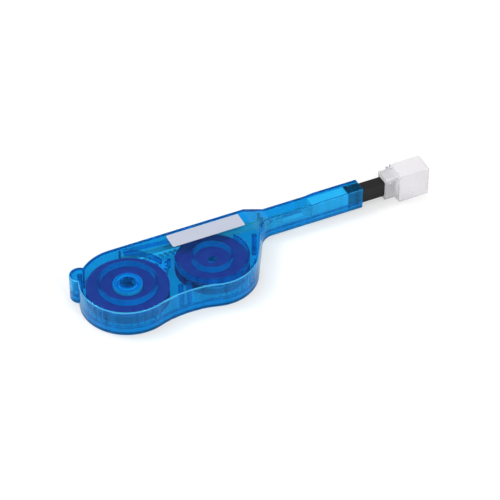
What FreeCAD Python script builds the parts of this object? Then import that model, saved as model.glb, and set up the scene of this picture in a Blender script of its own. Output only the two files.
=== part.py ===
"""Push-type cleaner for multi-fibre connectors, as separate parts.

A two-part clear housing with two lobes and a long neck holds a supply reel, a take-up reel and
the tape between them. Pushing the nose into the neck moves a rack, which turns a pinion and the
drive wheel under the take-up reel. A guide cap with a hinged dust lid sits on the nose.

Millimetres. +X runs from the lobes to the nose, +Z is up, and the housing lies flat on its lower
shell. Plan sizes are measured from the take-up reel's axis, and the finished parts are moved so
that the origin is the bottom centre of the whole object.
"""
import FreeCAD, Part
import math
import os

Vec = FreeCAD.Vector
Z_AXIS = Vec(0, 0, 1)

# housing, in plan
LOBE_A_R = 27.5             # take-up lobe
LOBE_B_R = 26.5             # supply lobe
WAIST_R = 60.0              # hollow curve between the lobes
FLANK_ANGLE = 60.5          # front flank that runs up to the neck, from +X
FLANK_FILLET_R = 9.0
BACK_L = 30.7               # straight back beyond the supply reel's axis
SHOULDER_L = 12.5           # slope from the lobes down to the neck
NECK_L = 60.0
NECK_IN = 7.7               # neck axis, in from the straight back
NUB_R = 6.1
NUB_ANGLE = 145.3           # about the take-up axis, from +X
NUB_IN = 0.26
COLLAR_L = 28.0
COLLAR_RAMP = 6.0
COLLAR_STEP = 0.7

# housing, in height
BODY_H = 17.0
WALL = 1.6
NECK_WALL = 1.2
MOUTH_LEN = 6.0
MOUTH_LIP = 0.5
SPLIT_Z = 5.4
TONGUE_T = 0.7              # upstand of the lower shell inside the upper one
TONGUE_H = 0.9
RIM_R = 0.9                 # rounding of the upper and lower rims
EMBED = 0.2                 # a rib's root inside its wall

# running and seating clearances
RUN = 0.05                  # radial, on posts
SLIDE = 0.1                 # each side, on sliding parts
AIR = 0.3                   # between parts that pass each other
BAR_AIR = 0.5               # rack bar to the back wall
SLIDER_AIR = 0.2            # slider and nose to the neck, each side
STOP_AIR = 1.0              # nose flange to the mouth

# reels and tape
TAPE_W = 4.0
TAPE_T = 0.15
FLANGE_T = 0.7
REEL_A_AIR = 2.4            # flange to the housing
REEL_B_AIR = 3.5
REEL_GAP = 6.9              # between the two reels' flanges
HUB_R = 8.2
PACK_A_T = 4.3              # tape wound on the hub
PACK_B_T = 9.3
POST_A_R = 4.4
POST_B_R = 2.4
POST_BORE = 0.55            # bore of a split post, as a share of its radius
POST_SLOT = 1.5
POST_SLOT_ANGLE = 115
POST_A_FOOT = 1.8
POST_B_FOOT = 3.0
SLOT_FOOT = 1.0             # solid height under the slot
POST_LIP = 0.35
POST_LIP_H = 0.5
SERRATED_R = 8.4
SERRATED_TEETH = 36
SERRATED_DEPTH = 0.7
SERRATED_H = 2.6
TOOTH_FOOT, TOOTH_CREST = 0.7, 0.35     # half widths, as shares of half a tooth pitch
DISH_RIM = 2.2
DISH_FLOOR = 1.2
DISH_COLLAR = 1.0
WASHER_T = 0.5
WASHER_W = 2.6
GUIDE_R = 1.0
GUIDE_IN = 4.0              # guide pins, before the neck
CORNER_R = 0.7
CORNER_X = 5.5
CORNER_IN = 1.6
PIN_OFFSET = 0.8            # where the tape leaves the corner pin, as a share of a guide's radius

# ribs under the top
RING_A_R = 16.9
RING_B_R = 11.7
GUARD_R = 21.3              # round the supply reel
GUARD_START, GUARD_END = -205, 30
RING_T = 1.1
GUARD_T = 0.9
RING_GAP = 0.5              # from the ring's foot to the reel
CURVE_AIR = 1.4             # curved rib to the take-up flange
CURVE_START, CURVE_END = 19, 72
STRAY_START = (8.0, 25.2)
STRAY_END = (58.0, 19.7)
STRAY_T = 0.8
STRAY_H = 2.6
UPRIGHT_W = 0.9             # upright ribs inside the front wall
UPRIGHT_OUT = 0.8
UPRIGHTS_A = (198, 290, 13)     # first angle, last angle, count
UPRIGHTS_B = (256, 326, 10)

# drive
MODULE = 1.0
PINION_TEETH = 14
ADDENDUM = 0.95
DEDENDUM = 1.25
BACKLASH = 0.16
PRESSURE_ANGLE = 20.0
FLANK_STEPS = 2
DRIVE_T = 2.0
PINION_POST_R = 2.0
PINION_FOOT = 1.0
BAR_W = 3.0
RACK_BACK_T = 1.55
BAR_TAIL = 4.0
STROKE = 12.0
LEAD_IN = 1.5               # teeth before the pinion
SPARE_TEETH = 3
WHEEL_HOLES = 6
WHEEL_HOLE_R = 3.4
WHEEL_RIM = 3.5
WHEEL_DISH = 0.8
PAWL_ANGLE = 8.0
PAWL_SWEEP = 7.0
PAWL_T = 0.5
PAWL_STEM_R = 1.1
PAWL_ROOT_X, PAWL_ROOT_Y = 2.2, 2.6

# nose and slider
NOSE_W = 6.8
NOSE_H = 10.1
NOSE_WALL = 1.2
NOSE_ROUND = 0.7
NOSE_IN_CAP = 7.0
NOSE_FLANGE_L = 2.0
NOSE_FLANGE_OUT = 0.35
HEAD_L = 23.0
SPIGOT_L = 4.0
TUNNEL_W = 2.8
JOG_L = 2.5
BAR_SET_IN = 3.4            # bar to the neck's front wall, clear of the spring
BLADE_T = 1.2
BLADE_H = 3.6
BLADE_TAIL = 5.0
BLADE_COLLAR_IN = 3.0
TIP_L = 2.0
TIP_OUT = 1.3
TIP_SWELL = 0.25

# return spring
SPRING_R = 1.35
SPRING_WIRE_R = 0.22
SPRING_PITCH = 1.4
SPRING_LIFT = 3.3           # above the nose axis
SPRING_IN = 2.0             # seat, beyond the start of the neck
SEAT_T = 1.5
WIRE_SIDES = 4

# guide cap and dust lid
CAP_AIR = 3.0               # cap to housing when pushed in
SOCKET_L = 6.0
CAP_WALL = 0.95
CAP_FLOOR = 0.75
CAP_ROOF = 1.85
CAP_ROUND = 0.6
PLUG_W = 7.7                # socket for the connector's housing
PLUG_H = 12.5
KEY_W = 3.2
KEY_IN = 1.5
DIMPLE_R = 0.7
DIMPLE_IN = 3.2
DIMPLE_DOWN = 4.0
LID_L = 19.4
LID_WALL = 1.0
LID_ROOM = 2.6              # in front of the cap
LID_HEADROOM = 1.7          # above the cap
LID_ROUND_R = 2.5
LID_END_ROUND = 0.8
HINGE_IN = 6.1
KNUCKLE_R = 1.0
KNUCKLE_H = 5.0
HINGE_DROP = 1.0            # below the lid's mid height
HINGE_PIN_R = 0.45
LEAF_T = 0.8

# label
LABEL_L, LABEL_W, LABEL_T, LABEL_CORNER = 45.0, 10.5, 0.15, 1.0
LABEL_BACK_IN = 3.1
LABEL_END_IN = 3.5

# screw-free joint of the shells: pins in sockets
SOCKET_R = 1.5
PIN_R = 0.8
PIN_H = 3.0                 # above the split
BOSS_IN = 5.3               # waist pair, in from the wall
BOSS_SPREAD = 2.1           # degrees each side of the waist's middle
FLANK_BOSS_UP = 17.8        # along the flank
FLANK_BOSS_IN = 1.0

# derived sizes, in plan
FLANGE_A_R = LOBE_A_R - WALL - REEL_A_AIR
FLANGE_B_R = LOBE_B_R - WALL - REEL_B_AIR
REEL_SPACING = FLANGE_A_R + FLANGE_B_R + REEL_GAP
PACK_A_R = HUB_R + PACK_A_T
PACK_B_R = HUB_R + PACK_B_T
BACK_END_X = REEL_SPACING + BACK_L
NECK_START_X = BACK_END_X + SHOULDER_L
NECK_END_X = NECK_START_X + NECK_L
COLLAR_START_X = NECK_END_X - COLLAR_L
NECK_Y = LOBE_A_R - NECK_IN
NECK_W = NOSE_W + 2 * (SLIDER_AIR + NECK_WALL)
NUB_X = (LOBE_A_R - NUB_IN) * math.cos(math.radians(NUB_ANGLE))
NUB_Y = (LOBE_A_R - NUB_IN) * math.sin(math.radians(NUB_ANGLE))
PINION_R = MODULE * PINION_TEETH / 2
PITCH = math.pi * MODULE
BAR_BACK_Y = LOBE_A_R - WALL - BAR_AIR
BAR_FRONT_Y = BAR_BACK_Y - BAR_W
RACK_ROOT_Y = BAR_BACK_Y - RACK_BACK_T
RACK_PITCH_Y = RACK_ROOT_Y - DEDENDUM * MODULE
PINION_Y = RACK_PITCH_Y - PINION_R
WHEEL_TEETH = int(2 * (BAR_FRONT_Y - AIR) / MODULE - 2 * ADDENDUM)
WHEEL_R = MODULE * WHEEL_TEETH / 2
PINION_X = math.sqrt((PINION_R + WHEEL_R) ** 2 - PINION_Y ** 2)
RACK_TEETH = math.ceil(STROKE / PITCH) + SPARE_TEETH
RACK_START_X = PINION_X - LEAD_IN * PITCH
RACK_END_X = RACK_START_X + RACK_TEETH * PITCH
NOSE_REAR_X = NECK_END_X - MOUTH_LEN - STOP_AIR - NOSE_FLANGE_L
HEAD_START_X = NOSE_REAR_X - HEAD_L
BLADE_START_X = HEAD_START_X - BLADE_TAIL
CAP_START_X = NECK_END_X + STROKE + CAP_AIR
NOSE_TIP_X = CAP_START_X + NOSE_IN_CAP
CAP_END_X = NOSE_TIP_X + SOCKET_L
TIP_X = NOSE_TIP_X + TIP_OUT
SPRING_START_X = NECK_START_X + SPRING_IN
GUIDE_X = NECK_START_X - GUIDE_IN
CORNER_Y = LOBE_A_R - WALL - CORNER_IN
CAP_FRONT_Y = NECK_Y - PLUG_W / 2 - CAP_WALL
CAP_BACK_Y = NECK_Y + PLUG_W / 2 + CAP_WALL
HINGE_X = CAP_START_X + HINGE_IN
HINGE_Y = CAP_BACK_Y + SLIDE + KNUCKLE_R
LID_START_X = HINGE_X + KNUCKLE_R + AIR
LID_END_X = LID_START_X + LID_L
LID_FRONT_Y = CAP_FRONT_Y - LID_ROOM - LID_WALL
LID_BACK_Y = CAP_BACK_Y + AIR + LID_WALL
LABEL_X = BACK_END_X - LABEL_END_IN - LABEL_L
LABEL_Y = LOBE_A_R - LABEL_BACK_IN - LABEL_W
FEED_Y = NECK_Y - BLADE_T / 2 - 2 * TAPE_T
RETURN_Y = NECK_Y + BLADE_T / 2 + 2 * TAPE_T
TAPE_CLEAR = TAPE_T / 2 + RUN
MEET_X = BLADE_START_X - STROKE - STOP_AIR
X_MID = (NUB_X - NUB_R + LID_END_X) / 2

# derived sizes, in height
AXIS_Z = BODY_H / 2
CEILING_Z = BODY_H - WALL
TAPE_BASE_Z, TAPE_TOP_Z = AXIS_Z - TAPE_W / 2, AXIS_Z + TAPE_W / 2
REEL_BASE_Z = TAPE_BASE_Z - AIR - FLANGE_T
REEL_TOP_Z = TAPE_TOP_Z + AIR + FLANGE_T
DRIVE_BASE_Z = REEL_BASE_Z - AIR - DRIVE_T
DRIVE_TOP_Z = DRIVE_BASE_Z + DRIVE_T
NOSE_BASE_Z, NOSE_TOP_Z = AXIS_Z - NOSE_H / 2, AXIS_Z + NOSE_H / 2
NECK_BASE_Z = min(NOSE_BASE_Z - NOSE_FLANGE_OUT, DRIVE_BASE_Z) - AIR - NECK_WALL
COLLAR_TOP_Z = NOSE_TOP_Z + NOSE_FLANGE_OUT + AIR + NECK_WALL
NECK_TOP_Z = COLLAR_TOP_Z - COLLAR_STEP
HEAD_TOP_Z = NECK_TOP_Z - NECK_WALL - AIR
SPRING_Z = AXIS_Z + SPRING_LIFT
RIB_BASE_Z = REEL_TOP_Z + RING_GAP
RIB_TOP_Z = CEILING_Z + EMBED
CAP_BASE_Z = AXIS_Z - PLUG_H / 2 - CAP_FLOOR
CAP_TOP_Z = AXIS_Z + PLUG_H / 2 + CAP_ROOF
LID_BASE_Z = CAP_BASE_Z - AIR - LID_WALL
LID_TOP_Z = CAP_TOP_Z + LID_HEADROOM + LID_WALL
HINGE_MID_Z = (LID_BASE_Z + LID_TOP_Z) / 2 - HINGE_DROP
TOP_Z = LID_TOP_Z + 1       # above everything
NODES = {}


def box(x0, x1, y0, y1, z0, z1):
    return Part.makeBox(x1 - x0, y1 - y0, z1 - z0, Vec(x0, y0, z0))


def tube(x, y, r_out, r_in, z0, z1):
    outer = Part.makeCylinder(r_out, z1 - z0, Vec(x, y, z0))
    if r_in <= 0:
        return outer
    return outer.cut(Part.makeCylinder(r_in, z1 - z0 + 2, Vec(x, y, z0 - 1)))


def prism(points, z0, z1):
    """Straight prism over a closed plan polygon."""
    corners = [Vec(x, y, z0) for x, y in points]
    face = Part.Face(Part.makePolygon(corners + corners[:1]))
    return face.extrude(Vec(0, 0, z1 - z0))


def polar(cx, cy, r, degrees):
    a = math.radians(degrees)
    return Vec(cx + r * math.cos(a), cy + r * math.sin(a), 0)


def arc(cx, cy, r, start, end):
    return Part.Arc(polar(cx, cy, r, start), polar(cx, cy, r, (start + end) / 2),
                    polar(cx, cy, r, end)).toShape()


# ---------------------------------------------------------------- housing
def waist_centre():
    """Centre of the hollow curve that touches both lobes."""
    da, db = LOBE_A_R + WAIST_R, LOBE_B_R + WAIST_R
    x = (REEL_SPACING ** 2 + da ** 2 - db ** 2) / (2 * REEL_SPACING)
    return x, -math.sqrt(da ** 2 - x ** 2)


def plan_outline(inset, end_x):
    """Closed plan wire of the lobes and neck, moved inwards by inset."""
    ra, rb = LOBE_A_R - inset, LOBE_B_R - inset
    rw, rf = WAIST_R + inset, FLANK_FILLET_R + inset
    wx, wy = waist_centre()
    a_end = math.degrees(math.atan2(wy, wx))
    b_start = math.degrees(math.atan2(wy, wx - REEL_SPACING))
    back = LOBE_A_R - inset
    front = NECK_Y - NECK_W / 2 + inset * NECK_WALL / WALL
    rear = NECK_Y + NECK_W / 2 - inset * NECK_WALL / WALL
    flank = FLANK_ANGLE - 90
    touch = polar(REEL_SPACING, 0, rb, flank)
    normal = polar(0, 0, 1, flank)
    along = polar(0, 0, 1, FLANK_ANGLE)
    fy = front - rf
    base = touch + normal * rf
    centre = base + along * ((fy - base.y) / along.y)
    left = Vec(0, back, 0)
    edges = [
        arc(0, 0, ra, 90, 360 + a_end),
        arc(wx, wy, rw, a_end + 180, b_start + 180),
        arc(REEL_SPACING, 0, rb, b_start, flank),
        Part.LineSegment(touch, centre - normal * rf).toShape(),
        arc(centre.x, centre.y, rf, flank + 180, 90),
        Part.LineSegment(Vec(centre.x, front, 0), Vec(end_x, front, 0)).toShape(),
        Part.LineSegment(Vec(end_x, front, 0), Vec(end_x, rear, 0)).toShape(),
        Part.LineSegment(Vec(end_x, rear, 0), Vec(NECK_START_X, rear, 0)).toShape(),
        Part.LineSegment(Vec(NECK_START_X, rear, 0), Vec(BACK_END_X, back, 0)).toShape(),
        Part.LineSegment(Vec(BACK_END_X, back, 0), left).toShape(),
    ]
    return Part.Wire(Part.__sortEdges__(edges))


def side_envelope(inset, neck_inset, end_x):
    """Side view of the housing: level over the lobes, lower along the neck."""
    low, high = inset, BODY_H - inset
    neck_low, neck_high = NECK_BASE_Z + neck_inset, NECK_TOP_Z - neck_inset
    collar = COLLAR_TOP_Z - neck_inset
    x_rear = NUB_X - 2 * NUB_R
    side = [(x_rear, low), (BACK_END_X, low), (NECK_START_X, neck_low), (end_x, neck_low),
            (end_x, collar), (COLLAR_START_X, collar), (COLLAR_START_X - COLLAR_RAMP, neck_high),
            (NECK_START_X, neck_high), (BACK_END_X, high), (x_rear, high)]
    corners = [Vec(x, -2 * LOBE_A_R, z) for x, z in side]
    face = Part.Face(Part.makePolygon(corners + corners[:1]))
    return face.extrude(Vec(0, 4 * LOBE_A_R, 0))


def rim_edges(solid):
    """Outer edges of the level top and bottom faces of the lobes."""
    found = []
    for edge in solid.Edges:
        zs = [v.Point.z for v in edge.Vertexes]
        level = max(zs) - min(zs) < 1e-6 and (abs(zs[0]) < 1e-6 or abs(zs[0] - BODY_H) < 1e-6)
        end_line = all(abs(v.Point.x - BACK_END_X) < 1e-6 for v in edge.Vertexes)
        if level and not end_line:
            found.append(edge)
    return found


def housing_envelope(inset, neck_inset, end_x):
    plan = Part.Face(plan_outline(inset, end_x)).extrude(Vec(0, 0, BODY_H))
    nub = Part.makeCylinder(NUB_R - inset, BODY_H, Vec(NUB_X, NUB_Y, 0))
    return plan.fuse(nub).common(side_envelope(inset, neck_inset, end_x)).removeSplitter()


def housing_wall():
    outer = housing_envelope(0, 0, NECK_END_X)
    outer = outer.makeFillet(RIM_R, rim_edges(outer))
    inner = housing_envelope(WALL, NECK_WALL, NECK_END_X + 1)
    mouth_x, front, rear = NECK_END_X - MOUTH_LEN, NECK_Y - NECK_W / 2, NECK_Y + NECK_W / 2
    lip_top = box(mouth_x, NECK_END_X, front, rear, NOSE_TOP_Z + SLIDER_AIR / 2, COLLAR_TOP_Z)
    lip_base = box(mouth_x, NECK_END_X, front, rear, NECK_BASE_Z, NOSE_BASE_Z - SLIDER_AIR / 2)
    return outer.cut(inner.cut(lip_top).cut(lip_base))


def tongue(inset, height):
    """Upright band inside the parting line, out to the given inset."""
    band = housing_envelope(inset, inset * NECK_WALL / WALL, NECK_END_X)
    inner = housing_envelope(WALL, NECK_WALL, NECK_END_X + 1)
    level = box(NUB_X - 2 * NUB_R, NECK_END_X, -2 * LOBE_A_R, 2 * LOBE_A_R, SPLIT_Z, SPLIT_Z + height)
    return band.cut(inner).common(level)


def split_post(x, y, r, foot_r, foot_top, top):
    """Snap post with a slot across it and a lip at the top."""
    bore = r * POST_BORE
    post = tube(x, y, r, bore, WALL, top)
    lip = Part.makeCone(r + POST_LIP, r, POST_LIP_H, Vec(x, y, top - POST_LIP_H))
    lip = lip.cut(tube(x, y, bore, 0, top - 2 * POST_LIP_H, top + 1))
    post = post.fuse(lip)
    slot = box(x - 2 * r, x + 2 * r, y - POST_SLOT / 2, y + POST_SLOT / 2, foot_top + SLOT_FOOT, top + 1)
    slot.rotate(Vec(x, y, 0), Z_AXIS, POST_SLOT_ANGLE)
    foot = tube(x, y, foot_r, 0, WALL, foot_top)
    return post.cut(slot).fuse(foot)


def socket_places():
    """Two bosses at the waist, one by the flank and one in the nub."""
    wx, wy = waist_centre()
    reach = WAIST_R + WALL + BOSS_IN
    touch = polar(REEL_SPACING, 0, LOBE_B_R, FLANK_ANGLE - 90)
    up_flank = polar(touch.x, touch.y, FLANK_BOSS_UP, FLANK_ANGLE)
    inward = WALL + SOCKET_R + FLANK_BOSS_IN
    return [polar(wx, wy, reach, 90 + BOSS_SPREAD), polar(wx, wy, reach, 90 - BOSS_SPREAD),
            polar(up_flank.x, up_flank.y, inward, FLANK_ANGLE + 90), Vec(NUB_X, NUB_Y, 0)]


def lower_shell(wall):
    below = box(NUB_X - 2 * NUB_R, NECK_END_X + 1, -2 * LOBE_A_R, 2 * LOBE_A_R, -1, SPLIT_Z)
    shell = wall.common(below).fuse(tongue(WALL - TONGUE_T, TONGUE_H))
    post_top = REEL_TOP_Z + SERRATED_H + SLIDE + POST_LIP_H
    wheel_foot = DRIVE_BASE_Z - SLIDE
    shell = shell.fuse(split_post(0, 0, POST_A_R, POST_A_R + POST_A_FOOT, wheel_foot, post_top))
    supply_top = REEL_TOP_Z + SLIDE + POST_LIP_H
    supply_foot = REEL_BASE_Z - WASHER_T - SLIDE
    shell = shell.fuse(split_post(REEL_SPACING, 0, POST_B_R, POST_B_R + POST_B_FOOT, supply_foot, supply_top))
    shell = shell.fuse(tube(PINION_X, PINION_Y, PINION_POST_R, 0, WALL, DRIVE_TOP_Z + 2 * SLIDE))
    shell = shell.fuse(tube(PINION_X, PINION_Y, PINION_POST_R + PINION_FOOT, 0, WALL, wheel_foot))
    for place in socket_places():
        shell = shell.fuse(tube(place.x, place.y, PIN_R, 0, WALL, SPLIT_Z + PIN_H))
        shell = shell.fuse(tube(place.x, place.y, SOCKET_R, 0, WALL, SPLIT_Z))
    return shell.removeSplitter()


def arc_rib(cx, cy, inner, outer, start, end, base):
    """Curved rib under the top, between two angles about an axis."""
    edges = [arc(cx, cy, inner, start, end), arc(cx, cy, outer, start, end),
             Part.LineSegment(polar(cx, cy, inner, start), polar(cx, cy, outer, start)).toShape(),
             Part.LineSegment(polar(cx, cy, inner, end), polar(cx, cy, outer, end)).toShape()]
    face = Part.Face(Part.Wire(Part.__sortEdges__(edges)))
    face.translate(Vec(0, 0, base))
    return face.extrude(Vec(0, 0, RIB_TOP_Z - base))


def straight_rib():
    """Slanting rib under the top, behind the take-up reel."""
    (x0, y0), (x1, y1) = STRAY_START, STRAY_END
    length = math.hypot(x1 - x0, y1 - y0)
    rib = box(0, length, -STRAY_T / 2, STRAY_T / 2, CEILING_Z - STRAY_H, RIB_TOP_Z)
    rib.rotate(Vec(0, 0, 0), Z_AXIS, math.degrees(math.atan2(y1 - y0, x1 - x0)))
    rib.translate(Vec(x0, y0, 0))
    return rib


def upright_ribs(cx, wall_r, spread):
    """Short upright ribs inside the front wall of one lobe."""
    first, last, count = spread
    base = SPLIT_Z + TONGUE_H + AIR
    ribs = []
    for i in range(count):
        rib = box(cx + wall_r - UPRIGHT_OUT, cx + wall_r + EMBED, -UPRIGHT_W / 2, UPRIGHT_W / 2,
                  base, RIB_TOP_Z)
        rib.rotate(Vec(cx, 0, 0), Z_AXIS, first + (last - first) * i / (count - 1))
        ribs.append(rib)
    return ribs


def upper_shell(wall):
    above = box(NUB_X - 2 * NUB_R, NECK_END_X + 1, -2 * LOBE_A_R, 2 * LOBE_A_R, SPLIT_Z, BODY_H + 1)
    shell = wall.common(above).cut(tongue(WALL - TONGUE_T - SLIDE, TONGUE_H + SLIDE))
    curve_r = FLANGE_A_R + CURVE_AIR
    ribs = [tube(0, 0, RING_A_R, RING_A_R - RING_T, RIB_BASE_Z, RIB_TOP_Z),
            tube(REEL_SPACING, 0, RING_B_R, RING_B_R - RING_T, RIB_BASE_Z, RIB_TOP_Z),
            arc_rib(REEL_SPACING, 0, GUARD_R - GUARD_T, GUARD_R, GUARD_START, GUARD_END, RIB_BASE_Z),
            arc_rib(0, 0, curve_r, curve_r + RING_T, CURVE_START, CURVE_END, RIB_BASE_Z),
            straight_rib()]
    ribs += upright_ribs(0, LOBE_A_R - WALL, UPRIGHTS_A)
    ribs += upright_ribs(REEL_SPACING, LOBE_B_R - WALL, UPRIGHTS_B)
    for place in socket_places():
        ribs.append(tube(place.x, place.y, SOCKET_R, PIN_R + RUN, SPLIT_Z, CEILING_Z))
    seat_front = NECK_Y - NECK_W / 2 + NECK_WALL / 2
    ribs.append(box(SPRING_START_X - SEAT_T, SPRING_START_X, seat_front, seat_front + 2 * SPRING_R,
                    TAPE_TOP_Z + AIR, NECK_TOP_Z - NECK_WALL / 2))
    return shell.fuse(ribs).removeSplitter()


def label():
    plate = box(LABEL_X, LABEL_X + LABEL_L, LABEL_Y, LABEL_Y + LABEL_W, BODY_H, BODY_H + LABEL_T)
    upright = [e for e in plate.Edges if abs(e.tangentAt(e.FirstParameter).z) > 0.9]
    return plate.makeFillet(LABEL_CORNER, upright)


# ---------------------------------------------------------------- reels and tape
def reel(x, y, bore, flange_r):
    hub = tube(x, y, HUB_R, 0, REEL_BASE_Z, REEL_TOP_Z)
    for z in (REEL_BASE_Z, REEL_TOP_Z - FLANGE_T):
        hub = hub.fuse(tube(x, y, flange_r, 0, z, z + FLANGE_T))
    return hub.cut(tube(x, y, bore, 0, 0, BODY_H)).removeSplitter()


def tape_pack(x, y, r):
    return tube(x, y, r, HUB_R, TAPE_BASE_Z, TAPE_TOP_Z)


def serrated_hub():
    """Finely toothed crown on top of the take-up reel."""
    half = 180 / SERRATED_TEETH
    root = SERRATED_R - SERRATED_DEPTH
    points = []
    for i in range(SERRATED_TEETH):
        a = i * 2 * half
        for r, shift in ((root, -TOOTH_FOOT), (SERRATED_R, -TOOTH_CREST),
                         (SERRATED_R, TOOTH_CREST), (root, TOOTH_FOOT)):
            p = polar(0, 0, r, a + shift * half)
            points.append((p.x, p.y))
    crown = prism(points, REEL_TOP_Z, REEL_TOP_Z + SERRATED_H)
    crown = crown.cut(tube(0, 0, POST_A_R + RUN, 0, 0, BODY_H))
    dish = tube(0, 0, SERRATED_R - DISH_RIM, POST_A_R + DISH_COLLAR, REEL_TOP_Z + DISH_FLOOR, BODY_H)
    return crown.cut(dish)


def brake_washer():
    top = REEL_BASE_Z - SLIDE
    return tube(REEL_SPACING, 0, POST_B_R + WASHER_W, POST_B_R + RUN, top - WASHER_T, top)


def ribbon(points):
    """Upright tape along straight plan runs."""
    run = None
    for (x0, y0), (x1, y1) in zip(points, points[1:]):
        length = math.hypot(x1 - x0, y1 - y0)
        piece = box(0, length, -TAPE_T / 2, TAPE_T / 2, TAPE_BASE_Z, TAPE_TOP_Z)
        piece.rotate(Vec(0, 0, 0), Z_AXIS, math.degrees(math.atan2(y1 - y0, x1 - x0)))
        piece.translate(Vec(x0, y0, 0))
        run = piece if run is None else run.fuse(piece)
    return run.removeSplitter()


def tangent_point(cx, cy, r, px, py, side):
    """Where a line from (px, py) touches a circle; side is +1 or -1."""
    d = math.hypot(px - cx, py - cy)
    base = math.degrees(math.atan2(py - cy, px - cx))
    p = polar(cx, cy, r, base + side * math.degrees(math.acos(r / d)))
    return (p.x, p.y)


def tape_feed():
    """Supply pack to the neck, where it meets the blade's tape."""
    start = tangent_point(REEL_SPACING, 0, PACK_B_R + TAPE_CLEAR, GUIDE_X, FEED_Y, 1)
    return ribbon([start, (GUIDE_X, FEED_Y), (MEET_X, FEED_Y)])


def tape_return():
    """Neck, past the corner pin, to the take-up pack."""
    corner = (CORNER_X + GUIDE_R, CORNER_Y + GUIDE_R * PIN_OFFSET)
    end = tangent_point(0, 0, PACK_A_R + TAPE_CLEAR, corner[0], corner[1], -1)
    return ribbon([(MEET_X, RETURN_Y), (GUIDE_X, RETURN_Y), corner, end])


def guide_pins():
    """Three pins, held in the upper shell, that the tape runs round."""
    low = TAPE_BASE_Z - AIR
    gap = GUIDE_R + TAPE_CLEAR
    places = [(GUIDE_X, FEED_Y - gap), (GUIDE_X, RETURN_Y + gap)]
    pins = [tube(x, y, GUIDE_R, 0, low, ceiling_at(x - GUIDE_R)) for x, y in places]
    pins.append(tube(CORNER_X, CORNER_Y, CORNER_R, 0, low, CEILING_Z))
    return Part.makeCompound(pins)


def ceiling_at(x):
    """Height of the inside of the sloping top, at x."""
    fall = (CEILING_Z - NECK_TOP_Z + NECK_WALL) / SHOULDER_L
    return CEILING_Z - max(0, x + 2 * GUIDE_R - BACK_END_X) * fall


# ---------------------------------------------------------------- drive
def involute_flank(base_r, r_from, r_to, half_angle_at, steps):
    """Points (r, angle) of one flank, the tooth centred on angle 0."""
    flank = []
    for i in range(steps + 1):
        r = max(r_from + (r_to - r_from) * i / steps, base_r)
        roll = math.sqrt((r / base_r) ** 2 - 1)
        flank.append((r, half_angle_at - (roll - math.atan(roll))))
    return flank


def spur_gear(x, y, teeth, phase, z0, z1, bore):
    """Involute gear with a tooth centred on the phase angle (degrees)."""
    r = MODULE * teeth / 2
    base_r = r * math.cos(math.radians(PRESSURE_ANGLE))
    root, tip = r - DEDENDUM * MODULE, r + ADDENDUM * MODULE
    tan_a = math.tan(math.radians(PRESSURE_ANGLE))
    half = (PITCH / 2 - BACKLASH) / 2 / r + tan_a - math.radians(PRESSURE_ANGLE)
    flank = involute_flank(base_r, max(root, base_r), tip, half, FLANK_STEPS)
    points = []
    for i in range(teeth):
        centre = math.radians(phase) + i * 2 * math.pi / teeth
        right = [(root, -flank[0][1])] + [(rr, -a) for rr, a in flank]
        left = [(rr, a) for rr, a in reversed(flank)] + [(root, flank[0][1])]
        for rr, a in right + left:
            points.append((x + rr * math.cos(centre + a), y + rr * math.sin(centre + a)))
    return prism(points, z0, z1).cut(tube(x, y, bore, 0, z0 - 1, z1 + 1))


def pinion():
    bore = PINION_POST_R + RUN
    return spur_gear(PINION_X, PINION_Y, PINION_TEETH, 90, DRIVE_BASE_Z, DRIVE_TOP_Z, bore)


def wheel_phase():
    """Angle of a wheel tooth, so that its gap faces the pinion's tooth."""
    line = math.degrees(math.atan2(PINION_Y, PINION_X))
    step = 360 / PINION_TEETH
    ahead = (90 - (line + 180)) % step
    gap = line - ahead * PINION_R / WHEEL_R
    return gap + 180 / WHEEL_TEETH


def drive_wheel():
    """Gear under the take-up reel, dished and pierced to save weight."""
    wheel = spur_gear(0, 0, WHEEL_TEETH, wheel_phase(), DRIVE_BASE_Z, DRIVE_TOP_Z, POST_A_R + RUN)
    rim = WHEEL_R - WHEEL_RIM
    wheel = wheel.cut(tube(0, 0, rim, HUB_R, DRIVE_TOP_Z - WHEEL_DISH, TOP_Z))
    for i in range(WHEEL_HOLES):
        hole = tube((rim + HUB_R) / 2, 0, WHEEL_HOLE_R, 0, 0, TOP_Z)
        hole.rotate(Vec(0, 0, 0), Z_AXIS, i * 360 / WHEEL_HOLES)
        wheel = wheel.cut(hole)
    return wheel


def reel_pawl():
    """Leaf that stops the take-up reel from running back."""
    base, top = REEL_TOP_Z - 2 * FLANGE_T, REEL_TOP_Z + STOP_AIR
    root = polar(PAWL_ROOT_X, PAWL_ROOT_Y, LOBE_A_R - WALL, PAWL_ANGLE)
    tip = polar(0, 0, FLANGE_A_R + AIR, PAWL_ANGLE - PAWL_SWEEP)
    across = (root - tip).cross(Z_AXIS).normalize() * PAWL_T
    corners = [tip, tip + across, root + across, root]
    leaf = prism([(p.x, p.y) for p in corners], base, top)
    stem = tube(root.x, root.y, PAWL_STEM_R, 0, base, CEILING_Z)
    return leaf.fuse(stem).removeSplitter()


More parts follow.
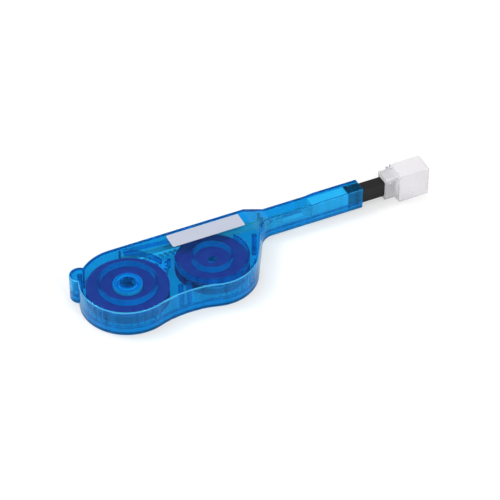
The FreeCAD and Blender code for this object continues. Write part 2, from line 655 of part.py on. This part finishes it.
def rack_bar(inner_front, inner_back):
    """Bar from the slider's head back past the pinion, with the rack's teeth."""
    front, back = inner_front + BAR_SET_IN, inner_back - AIR
    jog_x, turn_x = BACK_END_X - JOG_L, NECK_START_X - 1
    plan = [(HEAD_START_X, front), (HEAD_START_X, back), (turn_x, back), (jog_x, BAR_BACK_Y),
            (RACK_START_X - BAR_TAIL, BAR_BACK_Y), (RACK_START_X - BAR_TAIL, BAR_FRONT_Y),
            (RACK_START_X, BAR_FRONT_Y), (RACK_START_X, RACK_ROOT_Y), (RACK_END_X, RACK_ROOT_Y),
            (RACK_END_X, BAR_FRONT_Y), (jog_x, BAR_FRONT_Y), (turn_x, front)]
    bar = prism(plan, DRIVE_BASE_Z, DRIVE_TOP_Z)
    return bar.fuse([rack_tooth(PINION_X + (i + 1 - LEAD_IN) * PITCH) for i in range(RACK_TEETH)])


def rack_slider():
    """Head behind the nose, and the bar that runs back to the rack."""
    inner_front = NECK_Y - NECK_W / 2 + NECK_WALL
    inner_back = NECK_Y + NECK_W / 2 - NECK_WALL
    head = box(HEAD_START_X, NOSE_REAR_X, inner_front + SLIDER_AIR, inner_back - SLIDER_AIR,
               DRIVE_BASE_Z, HEAD_TOP_Z)
    grip = NOSE_WALL + SLIDE
    spigot = box(NOSE_REAR_X, NOSE_REAR_X + SPIGOT_L, NECK_Y - NOSE_W / 2 + grip,
                 NECK_Y + NOSE_W / 2 - grip, NOSE_BASE_Z + grip, NOSE_TOP_Z - grip)
    tunnel = box(HEAD_START_X - 1, NOSE_REAR_X + SPIGOT_L + 1, NECK_Y - TUNNEL_W / 2,
                 NECK_Y + TUNNEL_W / 2, TAPE_BASE_Z - AIR, TAPE_TOP_Z + AIR)
    bar = rack_bar(inner_front, inner_back)
    return head.fuse(spigot).cut(tunnel).fuse(bar).removeSplitter()


def rack_tooth(x):
    slope = math.tan(math.radians(PRESSURE_ANGLE))
    half = (PITCH / 2 - BACKLASH) / 2
    root_y, tip_y = RACK_ROOT_Y + EMBED, RACK_PITCH_Y - ADDENDUM * MODULE
    wide = half + DEDENDUM * MODULE * slope
    thin = half - ADDENDUM * MODULE * slope
    corners = [(x - wide, root_y), (x - thin, tip_y), (x + thin, tip_y), (x + wide, root_y)]
    return prism(corners, DRIVE_BASE_Z, DRIVE_TOP_Z)


def return_spring():
    """Coil between the seat in the neck and the slider's head."""
    length = HEAD_START_X - SPRING_START_X - 2 * SPRING_WIRE_R
    coil_r = SPRING_R - SPRING_WIRE_R
    helix = Part.makeHelix(SPRING_PITCH, length, coil_r)
    corners = [Vec(coil_r, 0, 0) + Vec(p.x, 0, p.y) for p in
               (polar(0, 0, SPRING_WIRE_R, 360 * i / WIRE_SIDES) for i in range(WIRE_SIDES + 1))]
    section = Part.makePolygon(corners)
    coil = Part.Wire(helix).makePipeShell([section], True, True)
    coil.rotate(Vec(0, 0, 0), Vec(0, 1, 0), 90)
    y = NECK_Y - NOSE_W / 2 - SLIDER_AIR + SLIDE + SPRING_R
    coil.translate(Vec(SPRING_START_X + SPRING_WIRE_R, y, SPRING_Z))
    return coil


# ---------------------------------------------------------------- nose
def nose_sleeve():
    """Black rectangular sleeve that carries the cap and slides in the neck."""
    y0, y1 = NECK_Y - NOSE_W / 2, NECK_Y + NOSE_W / 2
    z0, z1 = NOSE_BASE_Z, NOSE_TOP_Z
    sleeve = box(NOSE_REAR_X, NOSE_TIP_X, y0, y1, z0, z1)
    long_edges = [e for e in sleeve.Edges if abs(e.tangentAt(e.FirstParameter).x) > 0.9]
    sleeve = sleeve.makeFillet(NOSE_ROUND, long_edges)
    flange = box(NOSE_REAR_X, NOSE_REAR_X + NOSE_FLANGE_L, y0, y1, z0 - NOSE_FLANGE_OUT, z1 + NOSE_FLANGE_OUT)
    hollow = box(NOSE_REAR_X - 1, NOSE_TIP_X + 1, y0 + NOSE_WALL, y1 - NOSE_WALL,
                 z0 + NOSE_WALL, z1 - NOSE_WALL)
    return sleeve.fuse(flange).cut(hollow).removeSplitter()


def tape_blade():
    """Flat bar that carries the tape out to the tip and back."""
    half_t = BLADE_T / 2
    blade = box(BLADE_START_X, NOSE_TIP_X - TIP_L, NECK_Y - half_t, NECK_Y + half_t,
                AXIS_Z - BLADE_H / 2, AXIS_Z + BLADE_H / 2)
    collar = box(HEAD_START_X + BLADE_COLLAR_IN, NOSE_REAR_X, NECK_Y - half_t, NECK_Y + half_t,
                 TAPE_BASE_Z - AIR, TAPE_TOP_Z + AIR)
    return blade.fuse(collar).removeSplitter()


def cleaning_tip():
    """Soft rounded pad that presses the tape on the fibres."""
    r = BLADE_T / 2 + TIP_SWELL
    z0, z1 = AXIS_Z - BLADE_H / 2, AXIS_Z + BLADE_H / 2
    round_end = tube(TIP_X - r - TAPE_T, NECK_Y, r, 0, z0, z1)
    body = box(NOSE_TIP_X - TIP_L, TIP_X - r - TAPE_T, NECK_Y - r, NECK_Y + r, z0, z1)
    return round_end.fuse(body).removeSplitter()


def nose_tape():
    """Tape that lies on both sides of the blade and round the tip."""
    r_in = BLADE_T / 2 + TIP_SWELL
    r_out = r_in + TAPE_T
    z0, z1 = TAPE_BASE_Z, TAPE_TOP_Z
    centre_x = TIP_X - r_out
    loop = tube(centre_x, NECK_Y, r_out, r_in, z0, z1)
    loop = loop.common(box(centre_x, TIP_X, NECK_Y - r_out, NECK_Y + r_out, z0, z1))
    for side in (-1, 1):
        near, far = sorted((NECK_Y + side * r_in, NECK_Y + side * r_out))
        loop = loop.fuse(box(BLADE_START_X, centre_x, near, far, z0, z1))
    return loop.removeSplitter()


# ---------------------------------------------------------------- guide cap and lid
def guide_cap():
    """Clear sleeve on the nose, with a socket for the connector."""
    cap = box(CAP_START_X, CAP_END_X, CAP_FRONT_Y, CAP_BACK_Y, CAP_BASE_Z, CAP_TOP_Z)
    long_edges = [e for e in cap.Edges if abs(e.tangentAt(e.FirstParameter).x) > 0.9]
    cap = cap.makeFillet(CAP_ROUND, long_edges)
    grip = box(CAP_START_X - 1, CAP_END_X, NECK_Y - NOSE_W / 2 - SLIDE, NECK_Y + NOSE_W / 2 + SLIDE,
               NOSE_BASE_Z - SLIDE, NOSE_TOP_Z + SLIDE)
    socket = box(NOSE_TIP_X, CAP_END_X + 1, NECK_Y - PLUG_W / 2, NECK_Y + PLUG_W / 2,
                 AXIS_Z - PLUG_H / 2, AXIS_Z + PLUG_H / 2)
    key = box(NOSE_TIP_X + KEY_IN, CAP_END_X + 1, CAP_FRONT_Y - 1, NECK_Y,
              AXIS_Z - KEY_W / 2, AXIS_Z + KEY_W / 2)
    dimple = Part.makeCylinder(DIMPLE_R, CAP_WALL + 2, Vec(CAP_START_X + DIMPLE_IN, CAP_FRONT_Y - 1,
                                                          CAP_TOP_Z - DIMPLE_DOWN), Vec(0, 1, 0))
    cap = cap.cut([grip, socket, key, dimple])
    reach, half = KNUCKLE_H * 1.5, KNUCKLE_H / 2 + SLIDE
    for z0, z1 in ((-reach, -half), (half, reach)):
        z0, z1 = HINGE_MID_Z + z0, HINGE_MID_Z + z1
        ear = tube(HINGE_X, HINGE_Y, KNUCKLE_R, 0, z0, z1)
        web = box(HINGE_X - KNUCKLE_R, HINGE_X, CAP_BACK_Y - EMBED, HINGE_Y, z0, z1)
        cap = cap.fuse([ear, web])
    return cap.cut(tube(HINGE_X, HINGE_Y, HINGE_PIN_R, 0, 0, TOP_Z)).removeSplitter()


def hinge_pin():
    reach = KNUCKLE_H * 1.5
    return tube(HINGE_X, HINGE_Y, HINGE_PIN_R, 0, HINGE_MID_Z - reach, HINGE_MID_Z + reach)


def back_top_edge(solid, y, z):
    """Edge along +X where the back and the top meet."""
    return [e for e in solid.Edges
            if all(abs(v.Point.y - y) < 0.01 and abs(v.Point.z - z) < 0.01 for v in e.Vertexes)]


def dust_lid():
    """Clear box lid over the socket, hinged at its back edge."""
    lid = box(LID_START_X, LID_END_X, LID_FRONT_Y, LID_BACK_Y, LID_BASE_Z, LID_TOP_Z)
    lid = lid.makeFillet(LID_ROUND_R, back_top_edge(lid, LID_BACK_Y, LID_TOP_Z))
    end_edges = [e for e in lid.Edges if all(abs(v.Point.x - LID_END_X) < 0.01 for v in e.Vertexes)]
    lid = lid.makeFillet(LID_END_ROUND, end_edges)
    inner_y, inner_z = LID_BACK_Y - LID_WALL, LID_TOP_Z - LID_WALL
    hollow = box(LID_START_X - 1, LID_END_X - LID_WALL, LID_FRONT_Y + LID_WALL, inner_y,
                 LID_BASE_Z + LID_WALL, inner_z)
    hollow = hollow.makeFillet(LID_ROUND_R - LID_WALL, back_top_edge(hollow, inner_y, inner_z))
    lid = lid.cut(hollow)
    z0, z1 = HINGE_MID_Z - KNUCKLE_H / 2, HINGE_MID_Z + KNUCKLE_H / 2
    knuckle = tube(HINGE_X, HINGE_Y, KNUCKLE_R, 0, z0, z1)
    leaf = box(HINGE_X, LID_START_X + LID_WALL / 2, LID_BACK_Y - LEAF_T, LID_BACK_Y, z0, z1)
    knuckle = knuckle.fuse(leaf).cut(tube(HINGE_X, HINGE_Y, HINGE_PIN_R + RUN, 0, 0, TOP_Z))
    return lid.fuse(knuckle).removeSplitter()


# ---------------------------------------------------------------- export
def build():
    wall = housing_wall()
    NODES["lower_shell"] = lower_shell(wall)
    NODES["upper_shell"] = upper_shell(wall)
    NODES["label"] = label()
    NODES["guide_pins"] = guide_pins()
    NODES["takeup_reel"] = reel(0, 0, POST_A_R + RUN, FLANGE_A_R)
    NODES["takeup_pack"] = tape_pack(0, 0, PACK_A_R)
    NODES["serrated_hub"] = serrated_hub()
    NODES["supply_reel"] = reel(REEL_SPACING, 0, POST_B_R + RUN, FLANGE_B_R)
    NODES["supply_pack"] = tape_pack(REEL_SPACING, 0, PACK_B_R)
    NODES["brake_washer"] = brake_washer()
    NODES["tape_feed"] = tape_feed()
    NODES["tape_return"] = tape_return()
    NODES["pinion"] = pinion()
    NODES["drive_wheel"] = drive_wheel()
    NODES["reel_pawl"] = reel_pawl()
    NODES["rack_slider"] = rack_slider()
    NODES["return_spring"] = return_spring()
    NODES["nose_sleeve"] = nose_sleeve()
    NODES["tape_blade"] = tape_blade()
    NODES["cleaning_tip"] = cleaning_tip()
    NODES["nose_tape"] = nose_tape()
    NODES["guide_cap"] = guide_cap()
    NODES["lid_hinge_pin"] = hinge_pin()
    NODES["dust_lid"] = dust_lid()


def export():
    os.makedirs("parts", exist_ok=True)
    for name, shape in NODES.items():
        shape.translate(Vec(-X_MID, 0, 0))
        shape.exportStep("parts/" + name + ".step")
        print(name, len(shape.Solids), "valid" if shape.isValid() else "NOT VALID", round(shape.Volume, 1))
    print("x of the take-up axis", round(-X_MID, 3), "pinion at", round(PINION_X - X_MID, 3))


build()
export()
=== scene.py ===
import math

import bpy
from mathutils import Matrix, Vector


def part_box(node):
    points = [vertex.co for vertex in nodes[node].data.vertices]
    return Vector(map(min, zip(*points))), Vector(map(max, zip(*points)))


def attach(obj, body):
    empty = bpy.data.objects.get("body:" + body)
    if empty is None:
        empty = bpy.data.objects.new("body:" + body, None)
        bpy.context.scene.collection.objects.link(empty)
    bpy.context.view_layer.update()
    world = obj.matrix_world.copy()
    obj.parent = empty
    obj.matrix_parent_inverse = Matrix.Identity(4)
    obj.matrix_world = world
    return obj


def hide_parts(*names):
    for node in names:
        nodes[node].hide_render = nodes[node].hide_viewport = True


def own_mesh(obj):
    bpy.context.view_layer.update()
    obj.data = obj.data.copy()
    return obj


# Looks of the fibre connector cleaning pen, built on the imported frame. Metres, in the frame's
# axes: the pen lies along X on the floor, with its nose at high X.

MM = 0.001

# camera: the pen's length turns away to the right
CAMERA_TURN = 25.3          # degrees between the view and +Y
CAMERA_DIP = 41.55          # degrees below the horizon
CAMERA_AT = (-462.5 * MM, -959.8 * MM, 951.3 * MM)
CAMERA_LENS = 180.0         # with the sensor's width, gives the angle of view
SENSOR_WIDTH = 36.0
NEAR_CLIP = 0.05

# light: the dome's stops are the sine of the height above the horizon, and the strength there
SKY = ((0.0, 0.75), (0.50, 0.70), (0.61, 0.25), (0.71, 0.25), (0.86, 1.0))
KEY = dict(place=(-0.5, 0.5, 1.0), size=0.4, power=5.0)
FILL = dict(place=(0.12, -0.75, 0.72), size=0.14, power=2.6)
FLOOR_HALF = 4.0
FLOOR_DROP = 0.02 * MM      # below the pen's lowest face
FLOOR_BOUNCE = 0.90         # the floor's paleness to bounced light
FLOOR_SEEN = 0.58           # its paleness to the eye, which also sees the glow
FLOOR_GLOW = 0.44           # seen by the eye and through clear pieces only

# clear mouldings
CLEAR_IOR = 1.32            # below real plastic's, so that it bends what is inside less
PAINTED_RIM_STOPS = ((0.2, 0.0), (0.4, 1.0), (0.9, 1.0), (0.98, 0.0))   # (levelness of a face, mask of the painted rim colour, which is painted light on the rounded rims)
PAINTED_RIM_SHARE = 0.60            # how much of the rounded rims takes the painted rim colour: a painted highlight, or painted shade on the base
PAINTED_RING_SHARE = 0.75           # painted highlight on the round ribs over the reels, as a share of the rims
WHOLE_WALL = 1.5            # faces passed: 2 is in at one face and out at the next
STREAK_RANGE = (-0.7, 1.7)  # past 0..1, so the lines are clearly light and dark
HAZE_RANGE = (-0.02, 0.03)  # small changes of roughness
OPAQUE_IOR = 1.48

# round ribs under the top, which get a painted highlight: the reel below and the outer radius
RINGS = (("takeup_reel", 16.9 * MM), ("supply_reel", 11.7 * MM))
RING_T = 1.1 * MM
RING_MARGIN = 0.1 * MM      # past the rib's faces, each side

# noise scales, per metre: a higher one is a finer pattern
MOTTLE = 60.0
WAVINESS = 180.0
STREAK_SCALE = 260.0
CRYSTALS = 400.0
SATIN = 600.0
HAZE = 700.0
GRAIN = 900.0
WEAVE = 1500.0
PAPER_GRAIN = 2500.0
STREAK_STRETCH = 0.03         # how much the upright light and dark streaks change with height
GRAIN_DEPTH = 0.05 * MM
WAVE_DEPTH = 0.1 * MM

# return spring
SPRING_WIRE_R = 0.22 * MM
SPRING_TURNS = 18.5
STEPS_PER_TURN = 16

# sockets of a Mix node set to colours, which share their names with its other ones
MIX_FACTOR, MIX_A, MIX_B, MIX_RESULT = 0, 6, 7, 2

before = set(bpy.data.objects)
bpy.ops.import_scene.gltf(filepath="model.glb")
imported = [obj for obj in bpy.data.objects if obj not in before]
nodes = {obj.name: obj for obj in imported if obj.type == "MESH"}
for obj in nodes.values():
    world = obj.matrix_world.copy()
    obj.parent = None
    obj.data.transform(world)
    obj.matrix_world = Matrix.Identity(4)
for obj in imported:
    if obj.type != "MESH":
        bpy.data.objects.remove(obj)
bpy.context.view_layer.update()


def add_to_scene(name, data):
    thing = bpy.data.objects.new(name, data)
    bpy.context.scene.collection.objects.link(thing)
    return thing


# ---------------------------------------------------------------- node graphs
class Graph:
    """Short names for making the nodes of a material or a world."""

    def __init__(self, owner, output):
        owner.use_nodes = True
        self.tree = owner.node_tree
        self.tree.nodes.clear()
        self.out = self.add(output)

    def put(self, value, socket):
        """Give a socket another node's output, or a number, a colour or a vector."""
        if isinstance(value, bpy.types.NodeSocket):
            self.tree.links.new(value, socket)
        elif socket.type == "RGBA":
            socket.default_value = (*value, 1.0)
        else:
            socket.default_value = value

    def add(self, kind, **sockets):
        """A node with its sockets filled: Base_Color=... is the one named Base Color."""
        node = self.tree.nodes.new(kind)
        for name, value in sockets.items():
            self.put(value, node.inputs[name.replace("_", " ")])
        return node

    def add_in_order(self, kind, values):
        """A node with its first sockets filled in order."""
        node = self.tree.nodes.new(kind)
        for value, socket in zip(values, node.inputs):
            self.put(value, socket)
        return node

    def surface(self, shader):
        self.put(shader.outputs[0], self.out.inputs["Surface"])

    def number(self, operation, *values):
        node = self.add_in_order("ShaderNodeMath", values)
        node.operation = operation
        return node.outputs[0]

    def vector(self, operation, *values):
        node = self.add_in_order("ShaderNodeVectorMath", values)
        node.operation = operation
        return node.outputs["Value" if operation == "LENGTH" else "Vector"]

    def ramp(self, value, low, high):
        """Value from 0..1 turned to low..high."""
        return self.add("ShaderNodeMapRange", Value=value, To_Min=low, To_Max=high).outputs[0]

    def greys(self, value, stops, interpolation="LINEAR"):
        """Brightness by value; stops are (value, brightness), in rising order."""
        node = self.add("ShaderNodeValToRGB", Fac=value)
        node.color_ramp.interpolation = interpolation
        elements = node.color_ramp.elements
        while len(elements) < len(stops):
            elements.new(1.0)
        for element, (position, grey) in zip(elements, stops):
            element.position = position
            element.color = (grey, grey, grey, 1.0)
        return node.outputs["Color"]

    def mix_colour(self, value, first, second):
        """First where value is 0, second where it is 1."""
        node = self.add("ShaderNodeMix")
        node.data_type = "RGBA"
        self.put(value, node.inputs[MIX_FACTOR])
        self.put(first, node.inputs[MIX_A])
        self.put(second, node.inputs[MIX_B])
        return node.outputs[MIX_RESULT]

    def mix_shader(self, value, first, second):
        return self.add_in_order("ShaderNodeMixShader", (value, first.outputs[0], second.outputs[0]))

    def place(self):
        """Where a point is, in the frame's axes."""
        return self.add("ShaderNodeTexCoord").outputs["Object"]

    def height(self, vector):
        return self.add("ShaderNodeSeparateXYZ", Vector=vector).outputs["Z"]

    def noise(self, scale, detail=3.0, place=None):
        where = self.place() if place is None else place
        node = self.add("ShaderNodeTexNoise", Vector=where, Scale=scale, Detail=detail)
        return node.outputs["Fac"]

    def bump(self, value, strength, depth):
        node = self.add("ShaderNodeBump", Strength=strength, Distance=depth, Height=value)
        return node.outputs["Normal"]

    def level(self):
        """1 on level faces, 0 on upright ones."""
        normal = self.add("ShaderNodeTexCoord").outputs["Normal"]
        return self.number("ABSOLUTE", self.height(normal))

    def upright_streaks(self):
        """Upright streaks: noise that hardly changes with height."""
        flat = self.vector("MULTIPLY", self.place(), (1.0, 1.0, STREAK_STRETCH))
        return self.ramp(self.noise(STREAK_SCALE, detail=2.0, place=flat), *STREAK_RANGE)

    def ring(self, centre, outer, inner):
        """1 on the faces of a round rib, by their distance from its axis."""
        away = self.vector("SUBTRACT", self.place(), (centre.x, centre.y, 0.0))
        length = self.vector("LENGTH", self.vector("MULTIPLY", away, (1.0, 1.0, 0.0)))
        middle, half = (outer + inner) / 2, (outer - inner) / 2
        return self.number("COMPARE", length, middle, half + RING_MARGIN)


def new_material(name):
    material = bpy.data.materials.new(name)
    return material, Graph(material, "ShaderNodeOutputMaterial")


# ---------------------------------------------------------------- materials
def scaled(colour, factor):
    return tuple(min(1.0, c * factor) for c in colour)


def painted_rim_mask(g, level, painted_rings):
    """Mask of the painted rim colour: 1 on the rounded rims, and less on the round ribs over the
    reels.
    """
    painted_rims = g.greys(level, PAINTED_RIM_STOPS)
    for reel, outer in RINGS if painted_rings else ():
        low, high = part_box(reel)
        ring = g.ring((low + high) / 2, outer, outer - RING_T)
        painted_ring = g.number("MULTIPLY", ring, g.ramp(level, PAINTED_RING_SHARE, 0.0))
        painted_rims = g.number("MAXIMUM", painted_rims, painted_ring)
    return painted_rims


def let_light_through(g, moulding, passing, inner):
    """Lamp and bounce rays pass straight through, dimmer once they have crossed a wall."""
    path = g.add("ShaderNodeLightPath")
    deep = g.number("GREATER_THAN", path.outputs["Transparent Depth"], WHOLE_WALL)
    through = g.add("ShaderNodeBsdfTransparent", Color=g.mix_colour(deep, passing, inner))
    light = g.number("MAXIMUM", path.outputs["Is Shadow Ray"], path.outputs["Is Diffuse Ray"])
    return g.mix_shader(light, moulding, through)


def clear_tinted(name, *, glass, body, painted_rim_colour, gloss, face, side, streak, passing, inner,
                 density, depth, painted_rings=False):
    """Clear moulding: coloured glass mixed with a little opaque body, more on the sides.

    face and side are each (share of the body colour, roughness). The rim colour is painted onto the
    rounded rims: a painted highlight where it is paler than the body, painted shade where it is
    darker, and the last argument adds that painted highlight on the round ribs over the reels.
    streak is how much darker the upright streaks are. gloss tints the shine, passing and inner tint
    the light that goes through, and density and depth are those of the plastic's thickness.
    """
    material, g = new_material(name)
    level = g.level()
    painted_rims = painted_rim_mask(g, level, painted_rings)
    walls = g.mix_colour(g.upright_streaks(), scaled(body, 1 - streak), body)
    haze = g.ramp(g.noise(HAZE), *HAZE_RANGE)
    shine = dict(IOR=CLEAR_IOR, Specular_Tint=gloss,
                 Roughness=g.number("ADD", g.ramp(level, side[1], face[1]), haze),
                 Normal=g.bump(g.noise(WAVINESS), strength=0.03, depth=WAVE_DEPTH))
    clear = g.add("ShaderNodeBsdfPrincipled", Base_Color=glass, Transmission_Weight=1.0, **shine)
    # the rims take the painted rim colour: a painted highlight where it is paler than the body,
    # painted shade where it is darker
    solid = g.add("ShaderNodeBsdfPrincipled", Base_Color=g.mix_colour(painted_rims, walls, painted_rim_colour), **shine)
    share = g.number("MAXIMUM", g.ramp(level, side[0], face[0]), g.ramp(painted_rims, 0.0, PAINTED_RIM_SHARE))
    g.surface(let_light_through(g, g.mix_shader(share, clear, solid), passing, inner))
    volume = g.add("ShaderNodeVolumeAbsorption", Density=density, Color=depth)
    g.put(volume.outputs["Volume"], g.out.inputs["Volume"])
    return material


def moulded(name, colour, rough, grain=GRAIN, spread=0.08, bump=0.12, gloss=0.5):
    """Opaque moulding with a fine grain."""
    material, g = new_material(name)
    fine = g.noise(grain, detail=4.0)
    shade = g.mix_colour(g.noise(MOTTLE), scaled(colour, 1 - spread), scaled(colour, 1 + spread))
    g.surface(g.add("ShaderNodeBsdfPrincipled", Base_Color=shade, IOR=OPAQUE_IOR,
                    Specular_IOR_Level=gloss, Roughness=g.ramp(fine, rough - 0.05, rough + 0.07),
                    Normal=g.bump(fine, strength=bump, depth=GRAIN_DEPTH)))
    return material


def painted_shade_toothed(name, low, high, rough):
    """Moulding with painted light: its level faces are darker (painted shade) and its upright faces
    lighter (painted highlight), so the teeth on its side stand out.
    """
    material, g = new_material(name)
    g.surface(g.add("ShaderNodeBsdfPrincipled", Base_Color=g.mix_colour(g.level(), high, low),
                    Roughness=g.ramp(g.noise(SATIN), rough - 0.05, rough + 0.05),
                    IOR=OPAQUE_IOR,
                    Normal=g.bump(g.noise(GRAIN), strength=0.1, depth=GRAIN_DEPTH)))
    return material


def steel(name):
    material, g = new_material(name)
    shade = g.mix_colour(g.noise(CRYSTALS), (0.55, 0.56, 0.58), (0.68, 0.69, 0.70))
    g.surface(g.add("ShaderNodeBsdfPrincipled", Base_Color=shade, Metallic=1.0,
                    Roughness=g.ramp(g.noise(GRAIN), low=0.2, high=0.34)))
    return material


def woven(name, colour):
    """Fine cleaning cloth."""
    material, g = new_material(name)
    wave = g.add("ShaderNodeTexWave", Vector=g.place(), Scale=WEAVE, Distortion=1.0)
    wave.bands_direction = "Z"
    thread = wave.outputs["Fac"]
    g.surface(g.add("ShaderNodeBsdfPrincipled", Roughness=0.85,
                    Base_Color=g.mix_colour(thread, scaled(colour, 0.86), colour),
                    Normal=g.bump(thread, strength=0.3, depth=GRAIN_DEPTH)))
    return material


def dress(node, material):
    mesh = nodes[node].data
    mesh.materials.clear()
    mesh.materials.append(material)


BLUE_LIGHT = dict(gloss=(0.25, 0.70, 1.0), passing=(0.62, 0.90, 1.0), inner=(0.60, 0.66, 0.72),
                  density=120.0, depth=(0.0, 0.80, 0.99))
# its rim colour, paler than the body, is a painted highlight on the rims and on the round ribs over
# the reels
BLUE = clear_tinted("clear_blue", glass=(0.09, 0.70, 0.99), body=(0.0, 0.42, 1.0),
                    painted_rim_colour=(0.10, 0.62, 1.0), face=(0.04, 0.01), side=(0.24, 0.05),
                    streak=0.65, painted_rings=True, **BLUE_LIGHT)
# its rim colour, darker than the body, is painted shade on the base's rims
BLUE_BASE = clear_tinted("clear_blue_base", glass=(0.09, 0.67, 0.98), body=(0.0, 0.30, 0.85),
                         painted_rim_colour=(0.0, 0.25, 0.72), face=(0.04, 0.01), side=(0.36, 0.06),
                         streak=0.40, **BLUE_LIGHT)
# the rim colour, paler than the cap's and lid's bodies, is a painted highlight on their rims
PALE = dict(painted_rim_colour=(0.98, 0.98, 0.98), gloss=(1.0, 1.0, 1.0), streak=0.02)
FROST = clear_tinted("clear_cap", glass=(0.97, 0.96, 0.97), body=(0.93, 0.92, 0.94),
                     face=(0.42, 0.32), side=(0.30, 0.20), passing=(0.93, 0.93, 0.94),
                     inner=(0.8, 0.8, 0.8), density=40.0, depth=(0.90, 0.90, 0.92), **PALE)
LID = clear_tinted("clear_lid", glass=(0.98, 0.97, 0.98), body=(0.87, 0.85, 0.875),
                   face=(0.58, 0.36), side=(0.50, 0.26), passing=(0.95, 0.95, 0.96),
                   inner=(0.9, 0.9, 0.9), density=20.0, depth=(0.94, 0.93, 0.95), **PALE)
REEL = moulded("reel_dark", (0.70, 0.018, 0.22), 0.35)
# painted shade on the hub's level faces and a painted highlight on its upright ones
HUB_PAINTED_SHADE = painted_shade_toothed("hub_blue_painted_shade", (0.0, 0.26, 0.62), (0.30, 0.95, 1.0), 0.25)
DRIVE = moulded("drive_blue", (0.16, 0.58, 0.92), 0.35)
NATURAL = moulded("natural_plastic", (0.86, 0.88, 0.92), 0.42)
BLACK = moulded("black_plastic", (0.012, 0.011, 0.011), 0.40, bump=0.15, gloss=0.25)
PAD = moulded("soft_pad", (0.75, 0.75, 0.72), 0.7)
PAPER = moulded("label_paper", (0.50, 0.54, 0.65), 0.45, grain=PAPER_GRAIN, spread=0.03, bump=0.05)
STEEL = steel("steel")
CLOTH = woven("tape_white", (0.86, 0.86, 0.84))

FINISHES = {
    "lower_shell": BLUE_BASE, "upper_shell": BLUE, "reel_pawl": BLUE, "label": PAPER,
    "takeup_reel": REEL, "supply_reel": REEL, "serrated_hub": HUB_PAINTED_SHADE,
    "takeup_pack": CLOTH, "supply_pack": CLOTH, "tape_feed": CLOTH, "tape_return": CLOTH,
    "nose_tape": CLOTH, "drive_wheel": DRIVE, "pinion": DRIVE, "rack_slider": NATURAL,
    "tape_blade": NATURAL, "cleaning_tip": PAD, "nose_sleeve": BLACK, "guide_cap": FROST,
    "dust_lid": LID, "lid_hinge_pin": STEEL, "guide_pins": STEEL, "brake_washer": STEEL,
    "return_spring": STEEL,
}
for node_name, finish in FINISHES.items():
    dress(node_name, finish)


def coil_curve(low, high):
    """The wire's line, turning along X from one end of the box to the other."""
    radius = (high.z - low.z) / 2 - SPRING_WIRE_R
    length = high.x - low.x - 2 * SPRING_WIRE_R
    centre_y, centre_z = (low.y + high.y) / 2, (low.z + high.z) / 2
    curve = bpy.data.curves.new("spring_coil", "CURVE")
    curve.dimensions = "3D"
    curve.bevel_depth = SPRING_WIRE_R
    curve.bevel_resolution = 2
    curve.materials.append(STEEL)
    line = curve.splines.new("POLY")
    steps = int(SPRING_TURNS * STEPS_PER_TURN)
    line.points.add(steps)
    for i in range(steps + 1):
        part = i / steps
        angle = 2 * math.pi * SPRING_TURNS * part
        x = low.x + SPRING_WIRE_R + length * part
        y = centre_y + radius * math.cos(angle)
        z = centre_z + radius * math.sin(angle)
        line.points[i].co = (x, y, z, 1.0)
    return curve


def return_spring():
    """Round-wire coil."""
    low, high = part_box("return_spring")
    coil = add_to_scene("spring_coil", coil_curve(low, high))
    depsgraph = bpy.context.evaluated_depsgraph_get()
    mesh = bpy.data.meshes.new_from_object(coil.evaluated_get(depsgraph))
    solid = add_to_scene("return_coil", mesh)
    bpy.data.objects.remove(coil)
    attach(solid, "housing")
    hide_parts("return_spring")
    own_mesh(solid)


return_spring()


# ---------------------------------------------------------------- studio
def floor():
    """Pale floor that renders white to the eye and keeps the soft shadow."""
    half = FLOOR_HALF
    corners = [(-half, -half, 0), (half, -half, 0), (half, half, 0), (-half, half, 0)]
    mesh = bpy.data.meshes.new("floor")
    mesh.from_pydata(corners, [], [(0, 1, 2, 3)])
    ground = add_to_scene("floor", mesh)
    ground.location.z = -FLOOR_DROP
    material, g = new_material("floor")
    path = g.add("ShaderNodeLightPath")
    seen = g.number("MAXIMUM", path.outputs["Is Camera Ray"], path.outputs["Is Transmission Ray"])
    matt = g.add("ShaderNodeBsdfDiffuse", Color=g.ramp(seen, FLOOR_BOUNCE, FLOOR_SEEN))
    glow = g.add("ShaderNodeEmission", Strength=g.number("MULTIPLY", seen, FLOOR_GLOW))
    g.surface(g.add_in_order("ShaderNodeAddShader", (matt.outputs[0], glow.outputs[0])))
    mesh.materials.append(material)


def sky():
    """Dome that lights the pen, and plain white to the eye."""
    world = bpy.data.worlds.new("sky")
    bpy.context.scene.world = world
    g = Graph(world, "ShaderNodeOutputWorld")
    height = g.height(g.add("ShaderNodeTexCoord").outputs["Generated"])
    dome = g.add("ShaderNodeBackground", Color=g.greys(height, SKY, "EASE"), Strength=1.0)
    white = g.add("ShaderNodeBackground", Color=(1.0, 1.0, 1.0), Strength=1.0)
    seen = g.add("ShaderNodeLightPath").outputs["Is Camera Ray"]
    g.surface(g.mix_shader(seen, dome, white))


def lamp(name, place, size, power):
    """Round area lamp that shines at the frame's origin."""
    light = bpy.data.lights.new(name, "AREA")
    light.shape = "DISK"
    light.size = size
    light.energy = power
    thing = add_to_scene(name, light)
    thing.location = place
    thing.rotation_euler = (-Vector(place)).to_track_quat("-Z", "Y").to_euler()


def camera():
    data = bpy.data.cameras.new("camera")
    data.lens = CAMERA_LENS
    data.sensor_width = SENSOR_WIDTH
    data.clip_start = NEAR_CLIP
    thing = add_to_scene("camera", data)
    thing.location = CAMERA_AT
    thing.rotation_euler = (math.radians(90 - CAMERA_DIP), 0, math.radians(-CAMERA_TURN))
    bpy.context.scene.camera = thing


floor()
sky()
lamp("key", **KEY)
lamp("fill", **FILL)
camera()

scene = bpy.context.scene
scene.view_settings.view_transform = "Standard"
# enough bounces for rays that cross several clear walls
scene.cycles.max_bounces = 24
scene.cycles.glossy_bounces = 16
scene.cycles.transmission_bounces = 20
scene.cycles.transparent_max_bounces = 16
scene.cycles.sample_clamp_indirect = 4.0
